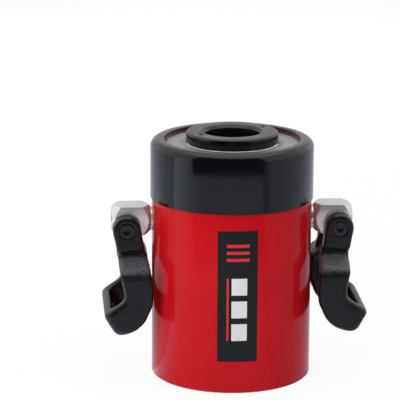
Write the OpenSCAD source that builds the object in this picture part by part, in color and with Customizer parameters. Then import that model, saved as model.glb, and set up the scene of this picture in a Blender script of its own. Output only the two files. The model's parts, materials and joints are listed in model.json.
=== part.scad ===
// Single-acting hollow plunger cylinder with a spring return and two swivel lifting rings.
// Millimetres, +Z up, origin on the axis of the centre hole at the base face.
// The label side looks along -Y, the lifting rings lie on the X axis, the oil coupler is on +Y.

/* [Cylinder body] */
// Wall of the cylinder body outside its bore
body_wall = 17.6; // [16:0.1:21]
// Thickness of the closed base
base_thickness = 22; // [18:1:28]
// Height of the oil port above the base face
port_height = 31.8; // [29:0.2:34]
// Bolt circle of the two mounting holes in the base
base_bolt_circle = 130.3; // [122:0.1:136]
// Diameter of the mounting holes in the base
base_hole_d = 7.94; // [6:0.02:10]
// Depth of the mounting holes in the base
base_hole_depth = 12.7; // [8:0.1:15]

/* [Plunger and centre tube] */
// Travel of the plunger
stroke = 76; // [60:1:90]
// Diameter of the hole through the centre tube
centre_hole_d = 54; // [48:0.5:60]
// Wall of the centre tube
tube_wall = 7.8; // [6:0.1:10]
// Wall of the plunger rod
rod_wall = 11.1; // [9:0.1:14]
// Room left for the return spring between the rod and the bore
spring_room = 15.9; // [13:0.1:18]
// Length that the return spring packs down to at full travel
spring_packed = 64; // [62:1:75]
// Turns of the return spring, its two closed ends among them
spring_turns = 5.5; // [4:0.25:5.75]

/* [Saddle, stop ring and thread protector] */
// Height of the saddle above the plunger
saddle_height = 10.5; // [8:0.5:14]
// Length of the threaded spigot under the saddle
spigot_length = 19; // [14:0.5:24]
// Length of the stop ring in the body
stop_ring_length = 33; // [31:1:40]
// Step of the stop ring's seat outside the bore
stop_ring_step = 4.1; // [3:0.1:5]
// Length of the thread protector
protector_length = 59; // [52:1:66]
// Wall of the thread protector
protector_wall = 2; // [1.6:0.1:3]

/* [Lifting rings] */
// Distance of the swivel axis below the thread protector
ring_drop = 22; // [21:0.5:40]
// Width across the flats of the swivel block
block_width = 28.8; // [27:0.2:32]
// Length of the swivel block along its axis
block_length = 38.3; // [37:0.1:44]
// Radius of the eyes of the bail
eye_r = 14; // [12.5:0.25:15]
// Thickness of the eyes of the bail
eye_thickness = 15.6; // [14:0.2:18]
// Width of the bail's forged strap
strap_width = 30; // [26:0.2:32]
// Radius of the strap's edges
strap_edge_r = 2.6; // [1.5:0.1:4]
// Straight length of the bail's arms, from the pin to the bend
arm_length = 59.5; // [56:0.5:66]
// Lean of the bail's arms towards the body, in degrees
arm_lean = 7; // [6:0.2:7]
// Bend of the bail's strap away from the body, in degrees
strap_bend = 70; // [64:1:78]
// Bend radius of the middle of the bail's strap
strap_bend_r = 22.6; // [20:0.2:28]
// Straight length of the bail beyond its bend
toe_length = 21.5; // [17:0.5:26]
// Width over the bail's loop, below its bosses
loop_width = 101; // [90:1:106]
// Thickness of the loop's two sides
loop_wall = 13; // [11:0.5:15]
// Thickness of the bail's toe, across the end of its loop
toe_wall = 10; // [8:0.5:13]
// Turn of the left bail towards the body as it hangs, in degrees
left_turn = 4; // [0:0.2:4]
// Turn of the right bail towards the body as it hangs, in degrees
right_turn = 1.6; // [0:0.2:4]

/* [Oil coupler] */
// Width across the flats of the coupler's hexagon
coupler_hex = 27; // [24:0.5:30]
// Outside diameter of the coupler's barrel
coupler_d = 28; // [26:0.5:32]
// Length of the coupler's barrel
coupler_length = 28; // [27:0.5:34]
// Diameter of the check ball
ball_d = 11; // [10:0.2:11.6]

/* [Hidden] */
$fn = 72;

// Colours
red_paint = [0.78, 0.07, 0.09];
gloss_black = [0.09, 0.10, 0.11];
black_oxide = [0.13, 0.13, 0.13];
stop_grey = [0.45, 0.46, 0.46];
chrome_steel = [0.80, 0.81, 0.82];
zinc_steel = [0.76, 0.73, 0.70];
forged_black = [0.12, 0.12, 0.13];
seal_black = [0.10, 0.10, 0.10];
bronze = [0.66, 0.48, 0.25];
rubber_black = [0.10, 0.10, 0.11];
spring_steel = [0.35, 0.35, 0.36];

// Fits and cutting overrun
overrun = 1;
fit_gap = 0.1;
running_gap = 0.06;
seat_gap = 0.2;

// Radii from the centre hole outwards
tube_r = centre_hole_d / 2 + tube_wall;
rod_bore_r = tube_r + fit_gap;
rod_r = rod_bore_r + rod_wall;
bore_r = rod_r + spring_room;
body_r = bore_r + body_wall;
stop_ring_r = bore_r + stop_ring_step;
port_thread_r = 7.4;
port_depth = 13;
oil_way_r = 2.5;

// Piston head: relief round the oil port, seal groove, guide groove and the lands between them
oil_gap = 2;
oil_way_clear = 0.7;
seal_land = 2;
seal_height = 6;
guide_land = 5;
guide_height = 8;
top_land = 6;
piston_z = base_thickness + oil_gap;
piston_relief_h = port_height + oil_way_r + oil_way_clear - piston_z;
seal_z = piston_z + piston_relief_h + seal_land;
guide_z = seal_z + seal_height + guide_land;
piston_top_z = guide_z + guide_height + top_land;

// Levels up the axis
rod_show = 1.5;
mouth_depth = 1.8;
lip_thickness = 3.2;
stop_ring_z = piston_top_z + stroke + spring_packed;
stop_ring_top_z = stop_ring_z + stop_ring_length;
plunger_top_z = stop_ring_top_z + rod_show;
saddle_top_z = plunger_top_z + saddle_height;
body_top_z = stop_ring_top_z + mouth_depth;
protector_top_z = body_top_z + lip_thickness;
protector_z = protector_top_z - protector_length;
ring_z = protector_z - ring_drop;

// Cylinder body
base_edge = 1.5;
collar_step = 0.5;
collar_r = body_r - collar_step;
collar_edge = 6;
mouth_flare = 1.3;
tube_seat_r = tube_r + fit_gap;
o_ring_wire_r = 1.35;
o_ring_groove_h = 3.4;
o_ring_z = base_thickness / 2;

// Plunger
piston_r = bore_r - fit_gap;
piston_relief = 3.5;
seal_depth = 6.2;
seal_notch_share = 0.2;
tube_seal_depth = 4.4;
guide_depth = 2.7;
tube_guide_depth = 2;
plunger_bore_relief = 1.2;
plunger_edge = 1.5;
spigot_r = tube_r;
tube_top_gap = 2;
tube_top_z = plunger_top_z - spigot_length - tube_top_gap;

// Saddle
saddle_setback = 0.3;
saddle_r = rod_r - saddle_setback;
saddle_hole_relief = 0.4;
saddle_hole_r = centre_hole_d / 2 + saddle_hole_relief;
saddle_edge = 2.4;
saddle_hole_edge = 1.6;
spanner_hole_r = 2.4;
spanner_hole_depth = 6;
spanner_circle_r = (saddle_r + saddle_hole_r) / 2;
spanner_angle = 28;

// Stop ring with its bearing and wiper
stop_ring_bore_r = rod_r + fit_gap;
bearing_depth = 2.5;
bearing_height = 14;
wiper_depth = 4.2;
wiper_height = 6;
bearing_z = stop_ring_z + (stop_ring_length - wiper_height - bearing_height) / 2;
wiper_lip = 0.6;
ring_spanner_r = 2.6;
ring_spanner_depth = 6;
ring_spanner_circle_r = (stop_ring_bore_r + wiper_depth + stop_ring_r) / 2;

// Thread protector
protector_inner_r = collar_r + fit_gap;
protector_r = protector_inner_r + protector_wall;
protector_edge_r = 8;
protector_lip_r = stop_ring_r + mouth_flare;
protector_lip_edge = 1;

// Return spring: its wire fills most of the room, and its end turns lie close to the next ones
spring_free = stop_ring_z - piston_top_z;
spring_mean_r = (rod_r + bore_r) / 2;
spring_side_gap = 2.7;
spring_wire_r = spring_room / 2 - spring_side_gap;
spring_turn_gap = 0.3;
spring_end_rise = 2 * spring_wire_r + spring_turn_gap;
spring_sides = 10;
spring_steps = 24;

// Swivel: its axis runs out along +X from the spot face on the body
spot_depth = 1;
spot_x = body_r - spot_depth;
flange_r = 11.8;
flange_thickness = 3;
flange_x = spot_x + flange_thickness;
bolt_r = 6.5;
bolt_thread_depth = 12;
bolt_head_r = 9;
bolt_head_height = 7.4;
bolt_socket_flats = 8;
bolt_socket_depth = 4.5;
bush_r = 8;
bush_length = 16.5;
block_x = flange_x + seat_gap;
block_end_x = block_x + block_length;
block_inner_bevel = 1.9;
block_outer_bevel = 2.9;
head_recess = 8;
head_seat_x = block_end_x - head_recess;
pin_along_share = 0.625;
pin_x = block_x + block_length * pin_along_share;
pin_drop = 6;
pin_z = ring_z - pin_drop;

// Shoulder screws of the bail
pin_r = 6;
pin_thread_r = 4;
pin_tip_gap = 1.1;
pin_tip_y = bolt_r + pin_tip_gap;
pin_head_r = 7.4;
pin_head_height = 5.6;
pin_head_recess = 6;
pin_socket_flats = 7;
pin_socket_depth = 3.6;

// Bail: an outer and an inner outline, each a rounded rectangle, with the strap between them
eye_gap = 0.3;
eye_y = block_width / 2 + eye_gap;
eye_outer_y = eye_y + eye_thickness;
eye_edge_r = 3;
boss_length = 21.5;
boss_foot = 3;
boss_sides = 36;
arm_setback = 4.3;
arm_outer_y = eye_outer_y - arm_setback;
loop_outer_y = loop_width / 2;
loop_inner_y = loop_outer_y - loop_wall;
loop_outer_corner_r = 6;
loop_inner_corner_r = 5;
bend_length = strap_bend_r * strap_bend * PI / 180;
strap_end = arm_length + bend_length + toe_length;
toe_edge_r = 7;
edge_steps = 3;
strap_sides = 4 * (edge_steps + 1);
corner_steps = 6;
bend_steps = 4;
// Stations of the arm: for its outer face and then for its inner one, the share of the arm's length
// and the share of the way out from the eye to the loop's side that the face reaches there
arm_shares = [[0.1, 0, 0.1, 0], [0.42, 0, 0.42, 0], [0.46, 0.12, 0.55, 0], [0.53, 0.55, 0.66, 0.4],
    [0.59, 0.9, 0.76, 0.82], [0.65, 1, 0.83, 1], [0.82, 1, 0.91, 1], [1, 1, 1, 1]];
// Width along the strap: share of the strap's whole length, and share of its width there
strap_width_shares = [[0, 0.9], [0.18, 0.9], [0.21, 0.88], [0.32, 1.02], [0.6, 0.97], [0.75, 1.0],
    [0.92, 0.96], [1, 0.88]];

// Coupler: its axis runs out along +Y at the height of the port
nipple_r = port_thread_r - fit_gap;
hex_gap = 1.4;
hex_y = body_r + hex_gap;
hex_length = 12;
neck_r = 10;
neck_length = 5.4;
neck_y = hex_y + hex_length;
barrel_y = neck_y + neck_length;
barrel_end_y = barrel_y + coupler_length;
barrel_r = coupler_d / 2;
barrel_edge = 1;
barrel_groove = 0.9;
barrel_groove_width = 2;
barrel_groove_offset = 5;
ball_r = ball_d / 2;
ball_chamber_r = 8;
ball_seat_r = 4.5;
ball_seat_thickness = 3;
coupler_mouth_r = 10;
coupler_mouth_depth = 5;
ball_seat_y = barrel_end_y - coupler_mouth_depth - ball_seat_thickness;
coupler_spigot_length = 3;
ball_chamber_y = barrel_y + coupler_spigot_length;
ball_y = ball_seat_y - sqrt(ball_r * ball_r - ball_seat_r * ball_seat_r) - fit_gap;
nipple_way_r = 3;
check_wire_r = 0.45;
check_coil_r = 4;
check_turns = 5;
check_turn_gap = 0.1;
check_end_rise = 2 * check_wire_r + check_turn_gap;
check_sides = 6;
check_steps = 16;
check_end = sqrt(pow(ball_r + check_wire_r + fit_gap, 2) - check_coil_r * check_coil_r) - check_wire_r;

// Dust cap and its strap
cap_wall = 3.4;
cap_play = 0.15;
cap_inner_r = barrel_r + cap_play;
cap_r = cap_inner_r + cap_wall;
cap_cover = 15;
cap_y = barrel_end_y - cap_cover;
cap_end_gap = 0.3;
cap_end_thickness = 5;
cap_end_y = barrel_end_y + cap_end_gap + cap_end_thickness;
cap_dish_share = 0.62;
cap_dish_r = cap_r * cap_dish_share;
cap_dish_depth = 3;
cap_edge_r = 1.6;
cap_grip_depth = 0.8;
cap_grip_length = 9;
strap_ring_gap = 0.3;
strap_ring_wall = 2.8;
strap_ring_play = 0.5;
strap_ring_width = neck_length - 2 * strap_ring_play;
cap_strap_width = 9;
cap_strap_thickness = 2.4;
cap_pad_height = 1.2;
cap_pad_offset = 4;
cap_pad_y = cap_y + cap_pad_offset;

module rounded_corner(r) {
    // Cuts a square corner, whose point is at the origin, to a quarter round
    difference() {
        translate([-r, -r]) square([r + overrun, r + overrun]);
        translate([-r, -r]) circle(r);
    }
}

module ring(outer_r, inner_r, z, h) {
    translate([0, 0, z])
        difference() {
            cylinder(h = h, r = outer_r);
            translate([0, 0, -overrun]) cylinder(h = h + 2 * overrun, r = inner_r);
        }
}

module along_x(x, h, r) {
    translate([x, 0, 0]) rotate([0, 90, 0]) cylinder(h = h, r = r);
}

module along_y(y, h, r) {
    translate([0, y, 0]) rotate([-90, 0, 0]) cylinder(h = h, r = r);
}

// Hexagonal prism up +Z, given the width across its flats
module hexagon(flats, h) {
    cylinder(h = h, r = flats / 2 / cos(30), $fn = 6);
}

// Ring of points of a coil of round wire at a turn, whose middle is at height z there
function coil_ring(mean_r, wire_r, sides, turn, z) = [
    for (i = [0 : sides - 1])
        let (
            a = 360 * i / sides,
            r = mean_r + wire_r * cos(a)
        )
        [r * cos(360 * turn), r * sin(360 * turn), z + wire_r * sin(a)]
];

// Faces of a tube of rings, each with the same number of points, closed at both ends
function tube_faces(rings, sides) = concat(
    [[for (i = [sides - 1 : -1 : 0]) i]],
    [for (k = [0 : rings - 2], i = [0 : sides - 1])
        [k * sides + i, k * sides + (i + 1) % sides, (k + 1) * sides + i]],
    [for (k = [0 : rings - 2], i = [0 : sides - 1])
        [k * sides + (i + 1) % sides, (k + 1) * sides + (i + 1) % sides, (k + 1) * sides + i]],
    [[for (i = [0 : sides - 1]) (rings - 1) * sides + i]]
);

// Coil of round wire whose first and last turn each climb by end_rise
module coil(mean_r, wire_r, length, turns, end_rise, sides, steps) {
    climb = [[0, wire_r], [1, wire_r + end_rise], [turns - 1, length - wire_r - end_rise],
        [turns, length - wire_r]];
    rings = [for (k = [0 : turns * steps])
        coil_ring(mean_r, wire_r, sides, k / steps, lookup(k / steps, climb))];
    polyhedron(points = [for (r = rings) each r], faces = tube_faces(len(rings), sides));
}

// Red body: closed base, bore, collar for the thread protector, port and ring seats
module body_shell() {
    rotate_extrude()
        difference() {
            square([body_r, body_top_z]);
            translate([0, base_thickness]) square([bore_r, body_top_z]);
            translate([0, -overrun]) square([tube_seat_r, body_top_z]);
            translate([0, stop_ring_z]) square([stop_ring_r + fit_gap, body_top_z]);
            translate([collar_r, protector_z]) square([body_r, protector_length]);
            polygon([[body_r - base_edge, 0], [body_r, base_edge],
                [body_r + overrun, base_edge], [body_r + overrun, -overrun],
                [body_r - base_edge, -overrun]]);
            polygon([[stop_ring_r, stop_ring_top_z], [stop_ring_r + mouth_flare, body_top_z],
                [stop_ring_r + mouth_flare, body_top_z + overrun],
                [stop_ring_r, body_top_z + overrun]]);
            polygon([[collar_r - collar_edge, body_top_z], [collar_r, body_top_z - collar_edge],
                [body_r + overrun, body_top_z - collar_edge],
                [body_r + overrun, body_top_z + overrun],
                [collar_r - collar_edge, body_top_z + overrun]]);
            translate([tube_r, o_ring_z - o_ring_groove_h / 2])
                square([2 * o_ring_wire_r + 2 * fit_gap, o_ring_groove_h]);
        }
}

module cylinder_body() {
    color(red_paint)
        difference() {
            body_shell();
            for (side = [0, 180])
                rotate([0, 0, side])
                    translate([0, 0, ring_z]) {
                        along_x(spot_x, body_r, flange_r + fit_gap);
                        along_x(spot_x - bolt_thread_depth - fit_gap, body_r, bolt_r + fit_gap);
                    }
            for (side = [0, 180])
                rotate([0, 0, side])
                    translate([base_bolt_circle / 2, 0, -overrun])
                        cylinder(h = base_hole_depth + overrun, d = base_hole_d);
            translate([0, 0, port_height]) {
                along_y(body_r - port_depth, body_r, port_thread_r);
                along_y(bore_r - overrun, body_r - bore_r, oil_way_r);
            }
        }
}

module centre_tube() {
    color(chrome_steel)
        ring(tube_r, centre_hole_d / 2, 0, tube_top_z);
}

module tube_o_ring() {
    color(seal_black)
        translate([0, 0, o_ring_z])
            rotate_extrude()
                translate([tube_r + o_ring_wire_r + fit_gap, 0]) circle(o_ring_wire_r);
}

module plunger() {
    color(chrome_steel)
        rotate_extrude()
            difference() {
                union() {
                    translate([0, piston_z]) square([piston_r, piston_top_z - piston_z]);
                    translate([0, piston_z]) square([rod_r, plunger_top_z - piston_z]);
                }
                square([rod_bore_r, plunger_top_z + overrun]);
                translate([0, piston_top_z])
                    square([rod_bore_r + plunger_bore_relief, tube_top_z - piston_top_z]);
                translate([piston_r - piston_relief, piston_z - overrun])
                    square([bore_r, piston_relief_h + overrun]);
                translate([piston_r - seal_depth, seal_z]) square([bore_r, seal_height]);
                translate([piston_r - guide_depth, guide_z]) square([bore_r, guide_height]);
                translate([0, seal_z]) square([rod_bore_r + tube_seal_depth, seal_height]);
                translate([0, guide_z]) square([rod_bore_r + tube_guide_depth, guide_height]);
                polygon([[rod_r - plunger_edge, plunger_top_z], [rod_r, plunger_top_z - plunger_edge],
                    [rod_r + overrun, plunger_top_z - plunger_edge],
                    [rod_r + overrun, plunger_top_z + overrun],
                    [rod_r - plunger_edge, plunger_top_z + overrun]]);
            }
}

// Lip seal of V section: inner_r and outer_r are its walls, the notch opens downwards
module lip_seal(outer_r, inner_r) {
    mid_r = (outer_r + inner_r) / 2;
    notch = (outer_r - inner_r) * seal_notch_share;
    rotate_extrude()
        difference() {
            translate([inner_r, seal_z + fit_gap])
                square([outer_r - inner_r, seal_height - 2 * fit_gap]);
            polygon([[mid_r - notch, seal_z], [mid_r + notch, seal_z],
                [mid_r, seal_z + seal_height / 2]]);
        }
}

module piston_seal() {
    color(seal_black)
        lip_seal(bore_r - running_gap, piston_r - seal_depth + fit_gap);
}

module tube_seal() {
    color(seal_black)
        lip_seal(rod_bore_r + tube_seal_depth - fit_gap, tube_r + running_gap);
}

module piston_wear_ring() {
    color(bronze)
        ring(bore_r - running_gap, piston_r - guide_depth + fit_gap,
            guide_z + fit_gap, guide_height - 2 * fit_gap);
}

module tube_bearing() {
    color(bronze)
        ring(rod_bore_r + tube_guide_depth - fit_gap, tube_r + running_gap,
            guide_z + fit_gap, guide_height - 2 * fit_gap);
}

module saddle() {
    color(black_oxide)
        difference() {
            rotate_extrude()
                difference() {
                    union() {
                        translate([0, plunger_top_z]) square([saddle_r, saddle_height]);
                        translate([0, plunger_top_z - spigot_length])
                            square([spigot_r, spigot_length + overrun]);
                    }
                    translate([0, plunger_top_z - spigot_length - overrun])
                        square([saddle_hole_r, spigot_length + saddle_height + 2 * overrun]);
                    translate([saddle_r, saddle_top_z]) rounded_corner(saddle_edge);
                    polygon([[0, saddle_top_z + overrun],
                        [saddle_hole_r + saddle_hole_edge, saddle_top_z + overrun],
                        [saddle_hole_r + saddle_hole_edge, saddle_top_z],
                        [saddle_hole_r, saddle_top_z - saddle_hole_edge],
                        [0, saddle_top_z - saddle_hole_edge]]);
                }
            for (side = [0, 180])
                rotate([0, 0, spanner_angle + side])
                    translate([spanner_circle_r, 0, saddle_top_z - spanner_hole_depth])
                        cylinder(h = spanner_hole_depth + overrun, r = spanner_hole_r);
        }
}

module stop_ring() {
    color(stop_grey)
        difference() {
            rotate_extrude()
                difference() {
                    translate([stop_ring_bore_r, stop_ring_z])
                        square([stop_ring_r - stop_ring_bore_r, stop_ring_length]);
                    translate([0, bearing_z])
                        square([stop_ring_bore_r + bearing_depth, bearing_height]);
                    translate([0, stop_ring_top_z - wiper_height])
                        square([stop_ring_bore_r + wiper_depth, wiper_height + overrun]);
                }
            for (side = [90, 270])
                rotate([0, 0, side])
                    translate([ring_spanner_circle_r, 0, stop_ring_top_z - ring_spanner_depth])
                        cylinder(h = ring_spanner_depth + overrun, r = ring_spanner_r);
        }
}

module rod_bearing() {
    color(bronze)
        ring(stop_ring_bore_r + bearing_depth - fit_gap, rod_r + running_gap,
            bearing_z + fit_gap, bearing_height - 2 * fit_gap);
}

module rod_wiper() {
    wiper_r = stop_ring_bore_r + wiper_depth - fit_gap;
    wiper_z = stop_ring_top_z - wiper_height + fit_gap;
    color(seal_black)
        rotate_extrude()
            polygon([[rod_r + running_gap + wiper_lip, wiper_z], [wiper_r, wiper_z],
                [wiper_r, stop_ring_top_z - fit_gap], [rod_r + wiper_depth / 2, stop_ring_top_z - fit_gap],
                [rod_r + running_gap, stop_ring_top_z + wiper_lip],
                [rod_r + running_gap, stop_ring_top_z - wiper_height / 3]]);
}

module thread_protector() {
    color(gloss_black)
        rotate_extrude()
            difference() {
                translate([protector_lip_r, protector_z])
                    square([protector_r - protector_lip_r, protector_length]);
                polygon([[0, protector_z - overrun], [protector_inner_r, protector_z - overrun],
                    [protector_inner_r, body_top_z - collar_edge],
                    [protector_inner_r - collar_edge, body_top_z], [0, body_top_z]]);
                translate([protector_r, protector_top_z]) rounded_corner(protector_edge_r);
                translate([protector_lip_r, protector_top_z])
                    mirror([1, 0]) rounded_corner(protector_lip_edge);
            }
}

module return_spring() {
    color(spring_steel)
        translate([0, 0, piston_top_z])
            coil(spring_mean_r, spring_wire_r, spring_free, spring_turns, spring_end_rise,
                spring_sides, spring_steps);
}

// Puts a lifting-ring piece, drawn on the +X side, on its own side of the body
module on_side(side) {
    rotate([0, 0, side == "left" ? 180 : 0]) children();
}

module swivel_bush(side) {
    color(zinc_steel)
        on_side(side)
            translate([0, 0, ring_z])
                difference() {
                    union() {
                        along_x(spot_x, flange_thickness, flange_r);
                        along_x(spot_x, flange_thickness + bush_length, bush_r);
                    }
                    along_x(spot_x - overrun, flange_thickness + bush_length + 2 * overrun,
                        bolt_r + running_gap);
                }
}

module swivel_bolt(side) {
    shank_x = spot_x - bolt_thread_depth;
    color(black_oxide)
        on_side(side)
            translate([0, 0, ring_z])
                difference() {
                    union() {
                        along_x(shank_x, head_seat_x + fit_gap - shank_x, bolt_r);
                        along_x(head_seat_x + fit_gap, bolt_head_height, bolt_head_r);
                    }
                    translate([head_seat_x + fit_gap + bolt_head_height - bolt_socket_depth, 0, 0])
                        rotate([0, 90, 0]) hexagon(bolt_socket_flats, bolt_socket_depth + overrun);
                }
}

// Square block, turned to a cone at both ends, that swivels on the bolt and carries the bail
module swivel_block(side) {
    corner_r = block_width / 2 / cos(45) + overrun;
    inner_end_r = block_width / 2 - block_inner_bevel;
    outer_end_r = block_width / 2 - block_outer_bevel;
    color(zinc_steel)
        on_side(side)
            difference() {
                intersection() {
                    translate([block_x, -block_width / 2, ring_z - block_width / 2])
                        cube([block_length, block_width, block_width]);
                    translate([block_x, 0, ring_z])
                        rotate([0, 90, 0])
                            rotate_extrude()
                                polygon([[0, 0], [inner_end_r, 0],
                                    [corner_r, corner_r - inner_end_r],
                                    [corner_r, block_length - corner_r + outer_end_r],
                                    [outer_end_r, block_length], [0, block_length]]);
                }
                translate([0, 0, ring_z]) {
                    along_x(spot_x, block_length + flange_thickness, bolt_r + running_gap);
                    along_x(spot_x, flange_thickness + bush_length + fit_gap, bush_r + running_gap);
                    along_x(head_seat_x, block_length, bolt_head_r + fit_gap);
                }
                for (turn = [0, 180])
                    translate([pin_x, 0, pin_z])
                        rotate([0, 0, turn])
                            along_y(pin_tip_y - fit_gap, block_width, pin_thread_r + fit_gap);
            }
}

// Two shoulder screws that the bail turns on, one through each eye
module bail_screws(side) {
    head_y = eye_y + eye_thickness - pin_head_recess;
    color(black_oxide)
        on_side(side)
            for (turn = [0, 180])
                translate([pin_x, 0, pin_z])
                    rotate([0, 0, turn])
                        difference() {
                            union() {
                                along_y(pin_tip_y, block_width / 2 + overrun - pin_tip_y,
                                    pin_thread_r);
                                along_y(block_width / 2, head_y + fit_gap - block_width / 2, pin_r);
                                along_y(head_y + fit_gap, pin_head_height, pin_head_r);
                            }
                            translate([0, head_y + fit_gap + pin_head_height - pin_socket_depth, 0])
                                rotate([-90, 0, 0])
                                    hexagon(pin_socket_flats, pin_socket_depth + overrun);
                        }
}

// Middle line of the strap in the plane of its bend, at distance s from the pin
function strap_heading(s) =
    -90 - arm_lean + strap_bend * max(0, min(1, (s - arm_length) / bend_length));

function strap_point(s) =
    let (
        h0 = strap_heading(0),
        h = strap_heading(s),
        straight = min(s, arm_length),
        beyond = max(0, s - arm_length - bend_length)
    )
    straight * [cos(h0), sin(h0)]
    + strap_bend_r * [sin(h) - sin(h0), cos(h0) - cos(h)]
    + beyond * [cos(h), sin(h)];

// Place of a point of the flat strap once the strap is bent: s along it, y across, b through it
function bent(s, y, b) =
    let (
        h = strap_heading(s),
        p = strap_point(s) + b * [-sin(h), cos(h)]
    )
    [p[0], y, p[1]];

function half_width(s) = strap_width * lookup(s / strap_end, strap_width_shares) / 2;

// Edge radius at distance s: the outer edge on the body's side grows rounder towards the toe
function edge_radius(quarter, s) =
    quarter == 3
        ? strap_edge_r + (toe_edge_r - strap_edge_r)
            * max(0, min(1, (s - arm_length) / (strap_end - arm_length)))
        : strap_edge_r;

// Section of the strap, a rounded rectangle between a point of the inner outline and one of the
// outer, both [s, y]; quarter 0 is its outer edge on the side that faces away from the body
function strap_section(inner, outer) =
    let (
        middle = (inner + outer) / 2,
        reach = norm(outer - inner) / 2,
        across = (outer - inner) / (2 * reach)
    )
    [
        for (quarter = [0 : 3], step = [0 : edge_steps])
            let (
                a = 90 * (quarter + step / edge_steps),
                r = edge_radius(quarter, outer[0]),
                side = quarter == 0 || quarter == 3 ? 1 : -1,
                face = quarter < 2 ? 1 : -1,
                p = middle + across * (side * (reach - r) + r * cos(a))
            )
            bent(p[0], p[1], face * (half_width(p[0]) - r) + r * sin(a))
    ];

function arm_sections(hand) = [
    for (share = arm_shares)
        strap_section(
            [share[2] * arm_length, hand * (eye_y + (loop_inner_y - eye_y) * share[3])],
            [share[0] * arm_length, hand * (arm_outer_y + (loop_outer_y - arm_outer_y) * share[1])])
];

// Point at angle a round the corner of an outline whose end lies wall short of the strap's end
function corner_point(a, hand, corner_r, spread, wall) =
    [strap_end - wall - corner_r * (1 - sin(a)), hand * (spread - corner_r * (1 - cos(a)))];

// Sections between the straight arm and the corner, which the inner outline reaches first
function bend_sections(hand) = [
    for (i = [1 : bend_steps - 1])
        let (
            inner = corner_point(0, hand, loop_inner_corner_r, loop_inner_y, toe_wall),
            outer = corner_point(0, hand, loop_outer_corner_r, loop_outer_y, 0),
            way = i / bend_steps
        )
        strap_section(
            [arm_length + (inner[0] - arm_length) * way, inner[1]],
            [arm_length + (outer[0] - arm_length) * way, outer[1]])
];

function corner_sections(hand) = [
    for (i = [0 : corner_steps])
        let (a = 90 * i / corner_steps)
        strap_section(
            corner_point(a, hand, loop_inner_corner_r, loop_inner_y, toe_wall),
            corner_point(a, hand, loop_outer_corner_r, loop_outer_y, 0))
];

function reversed(v) = [for (i = [len(v) - 1 : -1 : 0]) v[i]];

module bail_strap() {
    half = [for (hand = [-1, 1]) concat(arm_sections(hand), bend_sections(hand), corner_sections(hand))];
    rings = concat(half[0], reversed(half[1]));
    polyhedron(points = [for (r = rings) each r], faces = tube_faces(len(rings), strap_sides));
}

// Eye with the forged boss that runs on from it down the arm and ends in a step
module bail_eye(hand) {
    foot_width = 2 * half_width(boss_length);
    hull() {
        for (a = [0 : 30 : 90]) {
            y = eye_outer_y - eye_edge_r * (1 - sin(a));
            r = eye_r - eye_edge_r * (1 - cos(a));
            translate([0, hand * eye_y, 0])
                rotate([-90 * hand, 0, 0]) cylinder(h = y - eye_y, r = r, $fn = boss_sides);
            rotate([0, arm_lean, 0])
                translate([0, hand * (eye_y + y) / 2, boss_foot / 2 - boss_length])
                    cube([foot_width - 2 * (eye_r - r), y - eye_y, boss_foot], center = true);
        }
    }
}

// Forged bail: two eyes whose arms spread below the bosses into one bent loop
module bail(side) {
    color(forged_black)
        on_side(side)
            translate([pin_x, 0, pin_z])
                rotate([0, side == "left" ? left_turn : right_turn, 0])
                difference() {
                    union() {
                        bail_strap();
                        for (hand = [-1, 1]) bail_eye(hand);
                    }
                    for (turn = [0, 180])
                        rotate([0, 0, turn]) {
                            along_y(0, eye_y + eye_thickness + overrun, pin_r + running_gap);
                            along_y(eye_y + eye_thickness - pin_head_recess,
                                pin_head_recess + overrun, pin_head_r + fit_gap);
                        }
                }
}

// Nipple of the coupler: thread, hexagon, neck and the spigot that the barrel is screwed on
module coupler_nipple() {
    nipple_y = body_r - port_depth + seat_gap;
    color(zinc_steel)
        translate([0, 0, port_height])
            difference() {
                union() {
                    along_y(nipple_y, hex_y + overrun - nipple_y, nipple_r);
                    intersection() {
                        translate([0, hex_y, 0]) rotate([-90, 0, 0]) hexagon(coupler_hex, hex_length);
                        translate([0, hex_y, 0])
                            rotate([-90, 0, 0])
                                cylinder(h = hex_length, r1 = coupler_hex / 2 + hex_length,
                                    r2 = coupler_hex / 2);
                    }
                    along_y(neck_y - overrun, neck_length + overrun, neck_r);
                    along_y(neck_y, neck_length + coupler_spigot_length, ball_chamber_r - fit_gap);
                }
                along_y(nipple_y - overrun, ball_chamber_y - nipple_y + 2 * overrun, nipple_way_r);
            }
}

// Barrel of the coupler, with the check valve's chamber, its seat and the mouth
module coupler_body() {
    color(zinc_steel)
        translate([0, barrel_y, port_height])
            rotate([-90, 0, 0])
                rotate_extrude()
                    difference() {
                        square([barrel_r, coupler_length]);
                        translate([0, -overrun])
                            square([ball_chamber_r, ball_seat_y - barrel_y + overrun]);
                        square([ball_seat_r, coupler_length]);
                        translate([0, coupler_length - coupler_mouth_depth])
                            square([coupler_mouth_r, coupler_mouth_depth + overrun]);
                        translate([barrel_r - barrel_groove, barrel_groove_offset])
                            square([barrel_groove + overrun, barrel_groove_width]);
                        polygon([[barrel_r - barrel_edge, coupler_length],
                            [barrel_r, coupler_length - barrel_edge],
                            [barrel_r + overrun, coupler_length - barrel_edge],
                            [barrel_r + overrun, coupler_length + overrun],
                            [barrel_r - barrel_edge, coupler_length + overrun]]);
                    }
}

module check_ball() {
    color(chrome_steel)
        translate([0, ball_y, port_height]) sphere(ball_r);
}

module check_spring() {
    color(spring_steel)
        translate([0, ball_chamber_y, port_height])
            rotate([-90, 0, 0])
                coil(check_coil_r, check_wire_r, ball_y - check_end - ball_chamber_y,
                    check_turns, check_end_rise, check_sides, check_steps);
}

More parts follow.
